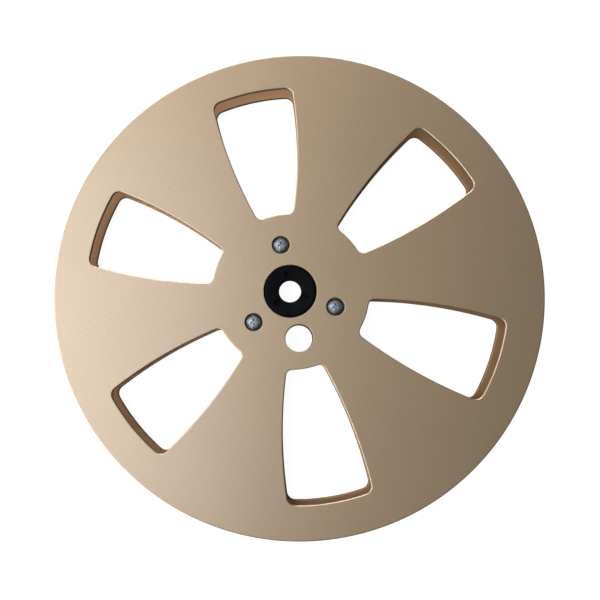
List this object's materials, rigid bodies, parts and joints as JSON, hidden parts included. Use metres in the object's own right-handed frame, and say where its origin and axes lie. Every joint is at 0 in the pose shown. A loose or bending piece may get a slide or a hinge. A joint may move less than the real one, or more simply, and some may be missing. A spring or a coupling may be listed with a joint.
{
  "type": "film reel",
  "caption": "Round metal film reel: flat windowed flanges screwed to a moulded hub, with a spindle hole, an offset drive hole and an open gap for the wound film.",
  "frame": {"origin": "centre of the rear flange's outer face, which the reel lies on", "axes": "+Z along the reel's axis, from the rear flange to the front flange; +Y towards the first screw; the drive hole is at -Y"},
  "size_m": [0.178, 0.178, 0.011],
  "materials": {
    "flange_metal": "champagne anodised, fine satin blast",
    "hub_plastic": "black moulded",
    "bush_plastic": "black, turned, semi-gloss",
    "screw_steel": "blackened",
    "insert_brass": "turned"
  },
  "bodies": {
    "root": {"front_flange": "flange_metal", "rear_flange": "flange_metal", "hub_core": "hub_plastic", "spindle_bush": "bush_plastic", "screw_insert_1": "insert_brass", "screw_insert_2": "insert_brass", "screw_insert_3": "insert_brass", "front_screw_1": "screw_steel", "front_screw_2": "screw_steel", "front_screw_3": "screw_steel", "rear_screw_1": "screw_steel", "rear_screw_2": "screw_steel", "rear_screw_3": "screw_steel"}
  },
  "joints": []
}
